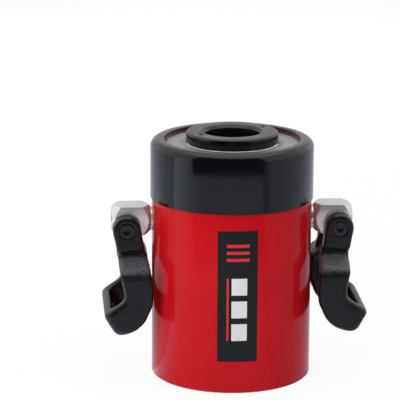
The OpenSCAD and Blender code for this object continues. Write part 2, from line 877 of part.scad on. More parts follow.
// Cap with a rim, a waist for the fingers and a pad for its strap
module dust_cap() {
    length = cap_end_y - cap_y;
    waist_y = length - cap_edge_r - cap_grip_length;
    color(rubber_black)
        translate([0, 0, port_height])
            difference() {
                union() {
                    translate([0, cap_y, 0])
                        rotate([-90, 0, 0])
                            rotate_extrude()
                                polygon([[0, 0], [cap_r, 0], [cap_r, waist_y],
                                    [cap_r - cap_grip_depth, waist_y + cap_grip_depth],
                                    [cap_r - cap_grip_depth, length - cap_edge_r],
                                    [cap_r - cap_grip_depth - cap_edge_r, length], [0, length]]);
                    translate([-cap_strap_width / 2, cap_pad_y - cap_strap_thickness, 0])
                        cube([cap_strap_width, 2 * cap_strap_thickness, cap_r + cap_pad_height]);
                }
                along_y(cap_y - overrun, cap_cover + cap_end_gap + overrun, cap_inner_r);
                along_y(cap_end_y - cap_dish_depth, cap_dish_depth + overrun, cap_dish_r);
            }
}

// Strap: a ring round the coupler's neck and an arch that ends on the cap's pad
module cap_strap() {
    ring_y = neck_y + (neck_length - strap_ring_width) / 2;
    ring_inner_r = neck_r + strap_ring_gap;
    leg_y = ring_y + strap_ring_width / 2;
    arch_mid_r = (cap_pad_y - leg_y) / 2;
    arch_z = cap_r + cap_pad_height + seat_gap;
    color(rubber_black)
        translate([0, 0, port_height]) {
            difference() {
                union() {
                    along_y(ring_y, strap_ring_width, ring_inner_r + strap_ring_wall);
                    translate([-cap_strap_width / 2, leg_y - cap_strap_thickness / 2, 0])
                        cube([cap_strap_width, cap_strap_thickness, arch_z]);
                    translate([-cap_strap_width / 2, leg_y + arch_mid_r, arch_z])
                        rotate([90, 0, 90])
                            linear_extrude(cap_strap_width)
                                difference() {
                                    circle(arch_mid_r + cap_strap_thickness / 2);
                                    circle(arch_mid_r - cap_strap_thickness / 2);
                                    translate([-2 * arch_mid_r, -2 * arch_mid_r])
                                        square([4 * arch_mid_r, 2 * arch_mid_r]);
                                }
                }
                along_y(ring_y - overrun, strap_ring_width + 2 * overrun, ring_inner_r);
            }
        }
}

cylinder_body();
centre_tube();
tube_o_ring();
stop_ring();
rod_bearing();
rod_wiper();
thread_protector();
return_spring();
plunger();
saddle();
piston_seal();
piston_wear_ring();
tube_seal();
tube_bearing();
for (side = ["left", "right"]) {
    swivel_bush(side);
    swivel_bolt(side);
    swivel_block(side);
    bail_screws(side);
    bail(side);
}
coupler_nipple();
coupler_body();
check_ball();
check_spring();
dust_cap();
cap_strap();
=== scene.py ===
"""Looks of a hollow plunger cylinder with two swivel lifting rings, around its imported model."""

import json
import math

import bpy
from mathutils import Matrix, Vector


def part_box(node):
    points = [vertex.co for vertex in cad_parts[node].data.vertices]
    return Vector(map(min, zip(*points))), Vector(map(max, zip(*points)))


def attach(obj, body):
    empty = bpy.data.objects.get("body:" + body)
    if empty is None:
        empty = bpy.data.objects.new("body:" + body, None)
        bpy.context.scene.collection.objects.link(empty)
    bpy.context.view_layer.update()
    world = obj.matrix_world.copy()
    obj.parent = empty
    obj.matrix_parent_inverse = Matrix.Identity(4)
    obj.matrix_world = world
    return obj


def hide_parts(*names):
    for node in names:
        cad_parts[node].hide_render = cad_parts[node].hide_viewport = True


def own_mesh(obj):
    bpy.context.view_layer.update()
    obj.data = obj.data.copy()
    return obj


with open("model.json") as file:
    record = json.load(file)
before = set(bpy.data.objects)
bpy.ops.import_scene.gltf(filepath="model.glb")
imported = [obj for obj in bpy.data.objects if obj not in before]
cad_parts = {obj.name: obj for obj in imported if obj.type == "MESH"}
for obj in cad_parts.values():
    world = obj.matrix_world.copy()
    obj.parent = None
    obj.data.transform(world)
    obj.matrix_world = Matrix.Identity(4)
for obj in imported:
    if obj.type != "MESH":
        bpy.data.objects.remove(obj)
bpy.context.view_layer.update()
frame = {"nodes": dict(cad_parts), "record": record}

MM = 0.001
NODES = frame["nodes"]
RECORD = frame["record"]
BODY_OF = {n: body for body, members in RECORD["behaviour"]["bodies"].items() for n in members}
SLOT_OF = {p["node"]: p["material_slot"] for p in RECORD["subparts"]}

# The camera that took the picture, fitted to the rims of the body, collar and saddle
CAMERA_PLACE = (-0.205192, -2.360527, 0.759732)
CAMERA_YAW = -4.204
CAMERA_PITCH = -13.838
CAMERA_ROLL = 0.305
CAMERA_LENS = 220.34
SENSOR_WIDTH = 36.0


# Small helpers for objects


def deselect_all():
    if bpy.context.object and bpy.context.object.mode != "OBJECT":
        bpy.ops.object.mode_set(mode="OBJECT")
    bpy.ops.object.select_all(action="DESELECT")


def make_active(obj):
    deselect_all()
    obj.select_set(True)
    bpy.context.view_layer.objects.active = obj


def edit_all(obj):
    """Enters edit mode with the whole mesh selected."""
    make_active(obj)
    bpy.ops.object.mode_set(mode="EDIT")
    bpy.ops.mesh.select_mode(type="VERT")
    bpy.ops.mesh.select_all(action="SELECT")


def leave_edit():
    bpy.ops.object.mode_set(mode="OBJECT")


def apply_place(obj):
    """Puts an object's place, turn and scale into its mesh."""
    make_active(obj)
    bpy.ops.object.transform_apply(location=True, rotation=True, scale=True)


def apply_modifiers(obj):
    make_active(obj)
    for modifier in list(obj.modifiers):
        bpy.ops.object.modifier_apply(modifier=modifier.name)


def smooth_by_angle(obj, degrees):
    make_active(obj)
    bpy.ops.object.shade_smooth_by_angle(angle=math.radians(degrees))


def select_where(obj, test):
    """Selects the faces of obj, in edit mode, whose centre passes the test."""
    make_active(obj)
    bpy.ops.object.mode_set(mode="EDIT")
    bpy.ops.mesh.select_all(action="DESELECT")
    bpy.ops.mesh.select_mode(type="FACE")
    bpy.ops.object.mode_set(mode="OBJECT")
    for polygon in obj.data.polygons:
        polygon.select = test(polygon.center)
    bpy.ops.object.mode_set(mode="EDIT")


def copy_of_node(node, name):
    """A clean copy of a CAD node's mesh: corners merged and flat faces made whole."""
    mesh = NODES[node].data.copy()
    mesh.name = name
    obj = bpy.data.objects.new(name, mesh)
    bpy.context.scene.collection.objects.link(obj)
    edit_all(obj)
    bpy.ops.mesh.customdata_custom_splitnormals_clear()
    bpy.ops.mesh.remove_doubles(threshold=0.002 * MM)
    bpy.ops.mesh.dissolve_limited(angle_limit=math.radians(0.4))
    leave_edit()
    return obj


def round_edges(obj, width, segments=3, over=40):
    """Rounds the edges that turn by more than an angle in degrees; the width is in mm."""
    bevel = obj.modifiers.new("edges", "BEVEL")
    bevel.width = width * MM
    bevel.segments = segments
    bevel.limit_method = "ANGLE"
    bevel.angle_limit = math.radians(over)
    bevel.use_clamp_overlap = True
    bevel.harden_normals = False
    apply_modifiers(obj)
    return obj


def cut_with(obj, tool):
    """Cuts obj with a closed tool, which is then removed."""
    cut = obj.modifiers.new("cut", "BOOLEAN")
    cut.operation = "DIFFERENCE"
    cut.solver = "EXACT"
    cut.object = tool
    apply_modifiers(obj)
    bpy.data.objects.remove(tool)


def add_rod(name, radius, start, end):
    """A plain closed cylinder between two points, to cut with."""
    start, end = Vector(start), Vector(end)
    deselect_all()
    bpy.ops.mesh.primitive_cylinder_add(
        vertices=96, radius=radius, depth=(end - start).length, location=(start + end) / 2,
        rotation=(end - start).to_track_quat("Z", "Y").to_euler())
    rod = bpy.context.object
    rod.name = name
    apply_place(rod)
    return rod


def adds_to(obj, node, material):
    """obj is one more piece on the body of a CAD node, with the given material."""
    obj.data.materials.clear()
    obj.data.materials.append(material)
    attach(obj, BODY_OF[node])


def stands_for(obj, node, material):
    """obj takes the place of a CAD node, on its body and with the given material; the node is
    hidden.
    """
    adds_to(obj, node, material)
    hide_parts(node)


# Shader helpers


def new_group(name, inputs, outputs):
    """A node group with named inputs (name, socket type, value) and outputs (name, type)."""
    group = bpy.data.node_groups.new(name, "ShaderNodeTree")
    for label, kind, value in inputs:
        socket = group.interface.new_socket(label, in_out="INPUT", socket_type=kind)
        if value is not None:
            socket.default_value = value
    for label, kind in outputs:
        group.interface.new_socket(label, in_out="OUTPUT", socket_type=kind)
    return group, group.nodes.new("NodeGroupInput"), group.nodes.new("NodeGroupOutput")


def add_node(tree, kind, **settings):
    node = tree.nodes.new(kind)
    for key, value in settings.items():
        setattr(node, key, value)
    return node


def plug(tree, socket, value):
    """Gives a socket a plain value, or links another socket into it."""
    if isinstance(value, bpy.types.NodeSocket):
        tree.links.new(value, socket)
    else:
        socket.default_value = value


def feed(tree, node, **given):
    """Plugs values into a node's named inputs. The input called From Min is given as From_Min."""
    for key, value in given.items():
        plug(tree, node.inputs[key.replace("_", " ")], value)


def math_node(tree, operation, *values):
    """A Math node of sockets or numbers. It gives its output socket, as the next ones do."""
    node = add_node(tree, "ShaderNodeMath", operation=operation)
    for socket, value in zip(node.inputs, values):
        plug(tree, socket, value)
    return node.outputs[0]


def noise_node(tree, vector, scale, detail=3.0, roughness=0.55):
    node = add_node(tree, "ShaderNodeTexNoise")
    feed(tree, node, Vector=vector, Scale=scale, Detail=detail, Roughness=roughness)
    return node.outputs["Fac"]


def range_node(tree, value, from_low, from_high, to_low, to_high):
    node = add_node(tree, "ShaderNodeMapRange")
    feed(tree, node, Value=value, From_Min=from_low, From_Max=from_high, To_Min=to_low,
         To_Max=to_high)
    return node.outputs["Result"]


def bump_node(tree, height, strength, distance, **normal):
    node = add_node(tree, "ShaderNodeBump")
    feed(tree, node, Height=height, Strength=strength, Distance=distance, **normal)
    return node.outputs["Normal"]


def axes_of(tree, vector):
    """The X, Y and Z of a vector, as the outputs of one node."""
    parts = add_node(tree, "ShaderNodeSeparateXYZ")
    tree.links.new(vector, parts.inputs[0])
    return parts.outputs


def make_grain_group():
    """Fine all-over grain: an uneven roughness and a shallow bump."""
    group, given, out = new_group(
        "grain",
        [("Vector", "NodeSocketVector", None), ("Scale", "NodeSocketFloat", 400.0),
         ("Roughness", "NodeSocketFloat", 0.4), ("Spread", "NodeSocketFloat", 0.1),
         ("Depth", "NodeSocketFloat", 0.1)],
        [("Roughness", "NodeSocketFloat"), ("Normal", "NodeSocketVector"),
         ("Mask", "NodeSocketFloat")])
    fine = noise_node(group, given.outputs["Vector"], given.outputs["Scale"])
    broad_scale = math_node(group, "MULTIPLY", given.outputs["Scale"], 0.06)
    broad = noise_node(group, given.outputs["Vector"], broad_scale, detail=5.0)
    both = math_node(group, "ADD", math_node(group, "MULTIPLY", fine, 0.4),
                     math_node(group, "MULTIPLY", broad, 0.6))
    low = math_node(group, "SUBTRACT", given.outputs["Roughness"], given.outputs["Spread"])
    high = math_node(group, "ADD", given.outputs["Roughness"], given.outputs["Spread"])
    group.links.new(range_node(group, both, 0.3, 0.7, low, high), out.inputs["Roughness"])
    group.links.new(bump_node(group, fine, given.outputs["Depth"], 0.1 * MM), out.inputs["Normal"])
    group.links.new(range_node(group, broad, 0.35, 0.7, 0.0, 1.0), out.inputs["Mask"])
    return group


def make_turned_group():
    """Fine turning lines round the piece's own Z axis, on flats and on walls alike."""
    group, given, out = new_group(
        "turning_lines",
        [("Vector", "NodeSocketVector", None), ("Lines", "NodeSocketFloat", 3000.0),
         ("Roughness", "NodeSocketFloat", 0.3), ("Spread", "NodeSocketFloat", 0.08),
         ("Depth", "NodeSocketFloat", 0.15)],
        [("Roughness", "NodeSocketFloat"), ("Normal", "NodeSocketVector"),
         ("Mask", "NodeSocketFloat")])
    axes = axes_of(group, given.outputs["Vector"])
    across = math_node(group, "POWER", axes["X"], 2.0)
    along = math_node(group, "POWER", axes["Y"], 2.0)
    radius = math_node(group, "SQRT", math_node(group, "ADD", across, along))
    place = math_node(group, "ADD", radius, math_node(group, "MULTIPLY", axes["Z"], 1.37))
    pair = add_node(group, "ShaderNodeCombineXYZ")
    group.links.new(place, pair.inputs["X"])
    lines = noise_node(group, pair.outputs[0], given.outputs["Lines"], detail=2.0)
    cloud = noise_node(group, given.outputs["Vector"], 60.0, detail=4.0)
    both = math_node(group, "ADD", math_node(group, "MULTIPLY", lines, 0.55),
                     math_node(group, "MULTIPLY", cloud, 0.45))
    low = math_node(group, "SUBTRACT", given.outputs["Roughness"], given.outputs["Spread"])
    high = math_node(group, "ADD", given.outputs["Roughness"], given.outputs["Spread"])
    group.links.new(range_node(group, both, 0.3, 0.7, low, high), out.inputs["Roughness"])
    bump = bump_node(group, lines, given.outputs["Depth"], 0.05 * MM)
    group.links.new(bump, out.inputs["Normal"])
    group.links.new(range_node(group, both, 0.35, 0.65, 0.0, 1.0), out.inputs["Mask"])
    return group


GRAIN = make_grain_group()
TURNED = make_turned_group()


def new_material(name, color, metallic=0.0, gloss=0.5):
    """A material with its shader's plain values set; gives the material, tree and shader."""
    material = bpy.data.materials.new(name)
    material.use_nodes = True
    material.diffuse_color = (*color, 1.0)
    tree = material.node_tree
    shader = tree.nodes["Principled BSDF"]
    shader.inputs["Base Color"].default_value = (*color, 1.0)
    shader.inputs["Metallic"].default_value = metallic
    shader.inputs["Specular IOR Level"].default_value = gloss
    return material, tree, shader


def object_place(tree):
    """Object coordinates, so that a pattern stays on its piece as the piece moves."""
    return add_node(tree, "ShaderNodeTexCoord").outputs["Object"]


def lay_group(tree, shader, group, vector, **values):
    """Places a group in a material, sets its inputs and wires roughness and normal."""
    node = add_node(tree, "ShaderNodeGroup", node_tree=group)
    feed(tree, node, Vector=vector, **values)
    feed(tree, shader, Roughness=node.outputs["Roughness"], Normal=node.outputs["Normal"])
    return node


def mix_node(tree, mask, first, second):
    """Mixes two colours, given as sockets or plain tones, by a mask; gives its output socket."""
    tones = [(*tone, 1.0) if isinstance(tone, tuple) else tone for tone in (first, second)]
    mix = add_node(tree, "ShaderNodeMix", data_type="RGBA")
    feed(tree, mix, Factor=mask, A=tones[0], B=tones[1])
    return mix.outputs["Result"]


def vary_color(tree, shader, mask, dark, light):
    """Mixes the base colour between two close tones by a mask."""
    tree.links.new(mix_node(tree, mask, dark, light), shader.inputs["Base Color"])


# Above this height, on the mouth over the stop ring, the red enamel is painted dark red as painted
# shade
MOUTH_HEIGHT = 234.0 * MM


def red_enamel():
    """Glossy red enamel, painted dark red on the mouth above the stop ring as painted shade."""
    material, tree, shader = new_material("red_enamel", (0.50, 0.007, 0.012), gloss=0.12)
    coordinates = object_place(tree)
    node = lay_group(tree, shader, GRAIN, coordinates, Scale=260.0, Roughness=0.13, Spread=0.03,
                     Depth=0.02)
    coat = mix_node(tree, node.outputs["Mask"], (0.48, 0.006, 0.011), (0.52, 0.008, 0.013))
    height = axes_of(tree, coordinates)["Z"]
    # Painted shade: the mouth above MOUTH_HEIGHT is mixed to a dark red
    mouth_shade = range_node(tree, height, MOUTH_HEIGHT, MOUTH_HEIGHT + MM, 0.0, 1.0)
    tree.links.new(mix_node(tree, mouth_shade, coat, (0.13, 0.004, 0.007)), shader.inputs["Base Color"])
    return material


def black_enamel():
    material, tree, shader = new_material("black_enamel", (0.003, 0.003, 0.004), gloss=0.4)
    node = lay_group(tree, shader, GRAIN, object_place(tree), Scale=240.0, Roughness=0.12,
                     Spread=0.03, Depth=0.02)
    vary_color(tree, shader, node.outputs["Mask"], (0.0015, 0.002, 0.0035), (0.003, 0.0035, 0.006))
    return material


def black_oxide():
    material, tree, shader = new_material("black_oxide", (0.002, 0.002, 0.002), gloss=0.5)
    node = lay_group(tree, shader, TURNED, object_place(tree), Lines=2600.0, Roughness=0.28,
                     Spread=0.05, Depth=0.15)
    vary_color(tree, shader, node.outputs["Mask"], (0.0015, 0.0015, 0.0015), (0.003, 0.003, 0.003))
    return material


def screw_black():
    material, tree, shader = new_material("screw_black", (0.010, 0.010, 0.011), gloss=0.5)
    node = lay_group(tree, shader, GRAIN, object_place(tree), Scale=900.0, Roughness=0.3,
                     Spread=0.08, Depth=0.1)
    vary_color(tree, shader, node.outputs["Mask"], (0.006, 0.006, 0.007), (0.012, 0.012, 0.013))
    return material


def grey_steel():
    material, tree, shader = new_material("phosphate_grey", (0.2, 0.2, 0.2), metallic=0.25)
    node = lay_group(tree, shader, TURNED, object_place(tree), Lines=2200.0, Roughness=0.5,
                     Spread=0.08, Depth=0.25)
    vary_color(tree, shader, node.outputs["Mask"], (0.25, 0.25, 0.25), (0.31, 0.31, 0.305))
    return material


def chrome():
    material, tree, shader = new_material("ground_chrome", (0.78, 0.79, 0.80), metallic=1.0)
    lay_group(tree, shader, TURNED, object_place(tree), Lines=5000.0, Roughness=0.16,
              Spread=0.05, Depth=0.06)
    return material


def satin_nickel():
    material, tree, shader = new_material("satin_nickel", (0.72, 0.69, 0.66), metallic=0.62)
    node = lay_group(tree, shader, GRAIN, object_place(tree), Scale=1400.0, Roughness=0.17,
                     Spread=0.05, Depth=0.1)
    vary_color(tree, shader, node.outputs["Mask"], (0.70, 0.67, 0.64), (0.76, 0.73, 0.70))
    return material


def window_node(tree, value, low, high, soft):
    """A mask that is 1 between two values and fades out over a soft border at both."""
    rise = range_node(tree, value, low - soft, low + soft, 0.0, 1.0)
    fall = range_node(tree, value, high - soft, high + soft, 1.0, 0.0)
    return math_node(tree, "MULTIPLY", rise, fall)


# On the forged bails: the heights of the rough scale, painted paler as a painted highlight, and of
# the patch below it, painted near black as painted shade, both of which begin this far out from the
# middle, and how uneven their borders are
ROUGH_BAND = (117.0 * MM, 130.0 * MM)
SHADE_BAND = (111.0 * MM, 115.0 * MM)
PATCH_OUT = (26.0 * MM, 30.0 * MM)
PATCH_UNEVEN = 6.0 * MM


def forged_black():
    """Black paint on a forging: fine grain, rough scale on the slopes painted paler as a painted
    highlight, and a rougher patch below painted near black as painted shade.
    """
    material, tree, shader = new_material("forged_black", (0.006, 0.006, 0.007), gloss=0.4)
    coordinates = object_place(tree)
    node = lay_group(tree, shader, GRAIN, coordinates, Scale=420.0, Roughness=0.34, Spread=0.1,
                     Depth=0.5)
    axes = axes_of(tree, coordinates)
    edge = math_node(tree, "MULTIPLY", noise_node(tree, coordinates, 260.0), PATCH_UNEVEN)
    height = math_node(tree, "ADD", axes["Z"], edge)
    beside = range_node(tree, math_node(tree, "ABSOLUTE", axes["Y"]), *PATCH_OUT, 0.0, 1.0)
    slope = math_node(tree, "MULTIPLY", beside,
                      window_node(tree, height, *ROUGH_BAND, 1.5 * MM))
    # Painted shade: the patch below the slope, which is also made rougher
    shade_patch = math_node(tree, "MULTIPLY", beside, window_node(tree, height, *SHADE_BAND, 1.0 * MM))
    scale = noise_node(tree, coordinates, 900.0, detail=4.0, roughness=0.65)
    rough = bump_node(tree, scale, math_node(tree, "MULTIPLY", slope, 0.9), 0.5 * MM,
                      Normal=node.outputs["Normal"])
    tree.links.new(rough, shader.inputs["Normal"])
    paint = mix_node(tree, node.outputs["Mask"], (0.003, 0.003, 0.004), (0.008, 0.0085, 0.010))
    # Painted highlight: the rough scale on the slopes is painted paler in speckles
    highlight_speckle = math_node(tree, "MULTIPLY", slope, range_node(tree, scale, 0.38, 0.62, 0.3, 1.0))
    slope_highlight = mix_node(tree, highlight_speckle, paint, (0.070, 0.075, 0.085))
    # Painted shade: the patch below the slope is mixed to near black
    tree.links.new(mix_node(tree, shade_patch, slope_highlight, (0.001, 0.001, 0.001)), shader.inputs["Base Color"])
    dulled = math_node(tree, "MULTIPLY", shade_patch, 0.35)
    tree.links.new(math_node(tree, "ADD", node.outputs["Roughness"], dulled),
                   shader.inputs["Roughness"])
    return material


def plain_grain(name, dark, light, roughness, metallic=0.0, gloss=0.5):
    """A plain material with fine grain, whose colour varies between two close tones."""
    material, tree, shader = new_material(name, dark, metallic=metallic, gloss=gloss)
    node = lay_group(tree, shader, GRAIN, object_place(tree), Scale=600.0, Roughness=roughness,
                     Spread=0.07, Depth=0.15)
    vary_color(tree, shader, node.outputs["Mask"], dark, light)
    return material


RED = red_enamel()
BLACK = black_enamel()
OXIDE = black_oxide()
SCREW = screw_black()
GREY = grey_steel()
CHROME = chrome()
NICKEL = satin_nickel()
FORGED = forged_black()
SPRING = plain_grain("oil_tempered_steel", (0.10, 0.10, 0.11), (0.14, 0.14, 0.15), 0.4, 0.8)
BRONZE = plain_grain("turned_bronze", (0.50, 0.31, 0.12), (0.56, 0.37, 0.16), 0.35, 1.0)
SEAL = plain_grain("seal_rubber", (0.010, 0.010, 0.010), (0.018, 0.018, 0.018), 0.5)
WIPER = plain_grain("wiper_polyurethane", (0.20, 0.20, 0.20), (0.24, 0.24, 0.235), 0.5)
RUBBER = plain_grain("cap_rubber", (0.012, 0.012, 0.013), (0.022, 0.022, 0.023), 0.55)
VINYL = plain_grain("label_vinyl", (0.008, 0.009, 0.010), (0.011, 0.012, 0.013), 0.3, gloss=0.22)
WHITE_PRINT = plain_grain("white_print", (0.66, 0.68, 0.70), (0.70, 0.71, 0.73), 0.35)
RED_PRINT = plain_grain("red_print", (0.60, 0.012, 0.02), (0.64, 0.016, 0.025), 0.35)

MATERIAL_OF_SLOT = {
    "red_paint": RED, "gloss_black": BLACK, "black_oxide": OXIDE, "grey_steel": GREY,
    "hard_chrome": CHROME, "plated_steel": NICKEL, "forged_black": FORGED,
    "spring_steel": SPRING, "bronze": BRONZE, "seal_rubber": SEAL, "cap_rubber": RUBBER,
}


def dress_cad_nodes():
    for name, obj in NODES.items():
        if not obj.material_slots:
            obj.data.materials.append(None)
        for slot in obj.material_slots:
            slot.material = MATERIAL_OF_SLOT[SLOT_OF[name]]


# Turned pieces and springs


def finish_copy(node, name, material, width, segments=3, over=40, smooth=30):
    """A copy of a CAD node with its sharp edges broken, standing for that node."""
    piece = round_edges(copy_of_node(node, name), width, segments, over)
    smooth_by_angle(piece, smooth)
    stands_for(piece, node, material)


SADDLE_CHAMFER = 3.0 * MM


def make_saddle():
    """The saddle, with the wide chamfer at the top of its hole cut by a cone at 45 degrees."""
    saddle = copy_of_node("saddle", "turned_saddle")
    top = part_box("saddle")[1].z
    hole_radius = min(math.hypot(v.co.x, v.co.y) for v in saddle.data.vertices)
    deselect_all()
    bpy.ops.mesh.primitive_cone_add(
        vertices=192, radius1=hole_radius - SADDLE_CHAMFER,
        radius2=hole_radius + 2 * SADDLE_CHAMFER, depth=3 * SADDLE_CHAMFER,
        location=(0, 0, top - SADDLE_CHAMFER / 2))
    countersink = bpy.context.object
    apply_place(countersink)
    cut_with(saddle, countersink)
    round_edges(saddle, width=0.3)
    smooth_by_angle(saddle, 30)
    stands_for(saddle, "saddle", OXIDE)


def make_turned_pieces():
    finish_copy("cylinder_body", "red_body", RED, width=0.6)
    finish_copy("thread_protector", "black_collar", BLACK, width=0.5)
    make_saddle()
    finish_copy("stop_ring", "turned_stop_ring", GREY, width=0.3)
    finish_copy("plunger", "chromed_plunger", CHROME, width=0.3)
    finish_copy("centre_tube", "honed_centre_tube", CHROME, width=0.4)
    finish_copy("rod_wiper", "moulded_wiper", WIPER, width=0.15, segments=2)


def add_spring(node):
    spring = copy_of_node(node, f"coiled_{node}")
    smooth_by_angle(spring, 50)
    stands_for(spring, node, SPRING)
    return spring, *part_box(node)


def make_springs():
    """The two springs, as smoothed copies of their CAD nodes."""
    spring, low, high = add_spring("return_spring")
    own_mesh(spring)
    spring, low, high = add_spring("check_spring")
    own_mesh(spring)


# Label: a bare dark panel on the front of the body, with plain printed bars


VINYL_THICKNESS = 0.10 * MM
PRINT_THICKNESS = 0.02 * MM
BODY_RADIUS = -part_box("cylinder_body")[0].y

# Each sheet's left and right edges in degrees from the front, its lower and upper edges and the
# radius of its corners in mm, and its material
LABEL_PANEL = ("label_panel", -14.4, 14.2, 32.5, 164.6, 1.2, VINYL)
LABEL_BARS = (
    ("label_red_bar_1", -8, 8, 134, 137.2, 0.5, RED_PRINT),
    ("label_red_bar_2", -8, 8, 141, 144.2, 0.5, RED_PRINT),
    ("label_red_bar_3", -8, 8, 148, 151.2, 0.5, RED_PRINT),
    ("label_white_bar_1", -4.5, 6.5, 54, 71, 0.5, WHITE_PRINT),
    ("label_white_bar_2", -4.5, 6.5, 77, 94, 0.5, WHITE_PRINT),
    ("label_white_bar_3", -4.5, 6.5, 100, 117, 0.5, WHITE_PRINT),
    ("label_red_line", -8, -6.5, 54, 117, 0.3, RED_PRINT),
)


def make_label_sheet(name, left, right, low, high, corner, material, base, thickness):
    """A thin sheet that lies round the body, at a distance of base from it."""
    deselect_all()
    bpy.ops.mesh.primitive_cylinder_add(
        vertices=720, radius=BODY_RADIUS + base, depth=(high - low) * MM,
        end_fill_type="NOTHING", location=(0, 0, (low + high) / 2 * MM))
    sheet = bpy.context.object
    sheet.name = name
    apply_place(sheet)

    def outside(centre):
        return not left < math.degrees(math.atan2(centre.x, -centre.y)) < right

    select_where(sheet, outside)
    bpy.ops.mesh.delete(type="FACE")
    leave_edit()
    ends = [v.co.x for v in sheet.data.vertices]
    side_ends = (min(ends), max(ends))
    make_active(sheet)
    bpy.ops.object.mode_set(mode="EDIT")
    bpy.ops.mesh.select_mode(type="VERT")
    bpy.ops.mesh.select_all(action="DESELECT")
    bpy.ops.object.mode_set(mode="OBJECT")
    for vertex in sheet.data.vertices:
        vertex.select = min(abs(vertex.co.x - end) for end in side_ends) < 0.001 * MM
    bpy.ops.object.mode_set(mode="EDIT")
    bpy.ops.mesh.bevel(offset=corner * MM, segments=6, affect="VERTICES", clamp_overlap=False)
    leave_edit()
    wall = sheet.modifiers.new("thickness", "SOLIDIFY")
    wall.thickness = thickness
    wall.offset = 1.0
    apply_modifiers(sheet)
    smooth_by_angle(sheet, 30)
    adds_to(sheet, "cylinder_body", material)


def make_label():
    make_label_sheet(*LABEL_PANEL, base=0.0, thickness=VINYL_THICKNESS)
    for bar in LABEL_BARS:
        make_label_sheet(*bar, base=VINYL_THICKNESS, thickness=PRINT_THICKNESS)


# Lifting rings


def make_ring_fittings(side):
    """The swivel block of one lifting ring, its bush and bolt, and the screws of its bail."""
    finish_copy(f"swivel_block_{side}", f"ring_block_{side}", NICKEL, width=0.7, over=28, smooth=25)
    finish_copy(f"swivel_bush_{side}", f"ring_bush_{side}", NICKEL, width=0.5, over=35, smooth=32)
    finish_copy(f"swivel_bolt_{side}", f"ring_bolt_{side}", SCREW, width=0.5, over=35, smooth=32)
    finish_copy(f"bail_screws_{side}", f"shoulder_screws_{side}", SCREW, width=0.8, over=35,
                smooth=32)


BAIL_VOXEL = 0.7 * MM
# How many times the whole bail is smoothed, and then its strap. The strap below this height is
# forged rounder than the eyes above it, and the border between them is this soft
BAIL_SMOOTHING, STRAP_SMOOTHING = 24, 170
STRAP_HIGH, STRAP_BORDER = 133.0 * MM, 6.0 * MM
# The bail's arms spread between these two heights, and begin this far out from the middle
SLOPE_LOW, SLOPE_HIGH, SLOPE_BORDER = 113.5 * MM, 128.0 * MM, 2.5 * MM
SLOPE_OUT = 27.0 * MM
# Size and height of the waves all over the bail, and of the rough scale on its slopes
WAVE_SIZE, WAVE_HEIGHT = 9.0 * MM, 0.5 * MM
SCALE_SIZE, SCALE_HEIGHT = 1.9 * MM, 1.1 * MM
# How far the screw's head lies inside its counterbore, and the gap round it
HEAD_DEPTH, HEAD_GAP = 5.8 * MM, 0.15 * MM


def weigh_group(bail, name, weight_of):
    """Makes a vertex group whose weights come from each vertex's place, where they are above 0."""
    group = bail.vertex_groups.new(name=name)
    for vertex in bail.data.vertices:
        weight = weight_of(vertex.co)
        if weight > 0:
            group.add([vertex.index], min(1.0, weight), "REPLACE")


def lift_skin(bail, name, size, height, group=""):
    """Lifts and lowers the bail's skin by a cloud pattern, on one vertex group or all over."""
    clouds = bpy.data.textures.new(f"die_{name}", "CLOUDS")
    clouds.noise_scale = size
    lift = bail.modifiers.new(name, "DISPLACE")
    lift.texture = clouds
    lift.texture_coords = "LOCAL"
    lift.mid_level = 0.5
    lift.strength = height
    lift.vertex_group = group


def forge_skin(bail):
    """The skin that a worn die leaves: soft waves all over, and rough scale on the slopes."""

    def on_slope(place):
        inside = min(place.z - SLOPE_LOW, SLOPE_HIGH - place.z) / SLOPE_BORDER
        return inside if abs(place.y) > SLOPE_OUT else 0.0

    weigh_group(bail, "slope", on_slope)
    lift_skin(bail, "waves", WAVE_SIZE, WAVE_HEIGHT)
    lift_skin(bail, "scale", SCALE_SIZE, SCALE_HEIGHT, "slope")
    apply_modifiers(bail)


# The heel is the bail's curve between bend and toe, on the side that faces the body. It lies this
# far in from the toe's tip and this high, and its fullness fades out over the reach
HEEL_IN, HEEL_HEIGHT, HEEL_REACH = 31.5 * MM, 58.5 * MM, 21.0 * MM
HEEL_TO_BODY, HEEL_DOWN = 1.4 * MM, 2.2 * MM


def fill_heel(bail, side):
    """Fills out the heel of the bail, which the source draws a little flatter."""
    low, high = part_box(f"bail_{side}")
    hand, tip = (-1, low.x) if side == "left" else (1, high.x)
    heel_x = tip - hand * HEEL_IN

    def near_heel(place):
        off = math.hypot(place.x - heel_x, place.z - HEEL_HEIGHT) / HEEL_REACH
        return max(0.0, 1 - off * off) ** 2

    weigh_group(bail, "heel", near_heel)
    for direction, push in (("X", -hand * HEEL_TO_BODY), ("Z", -HEEL_DOWN)):
        fill = bail.modifiers.new("fill", "DISPLACE")
        fill.direction = direction
        fill.mid_level = 0.0
        fill.strength = push
        fill.vertex_group = "heel"
    apply_modifiers(bail)


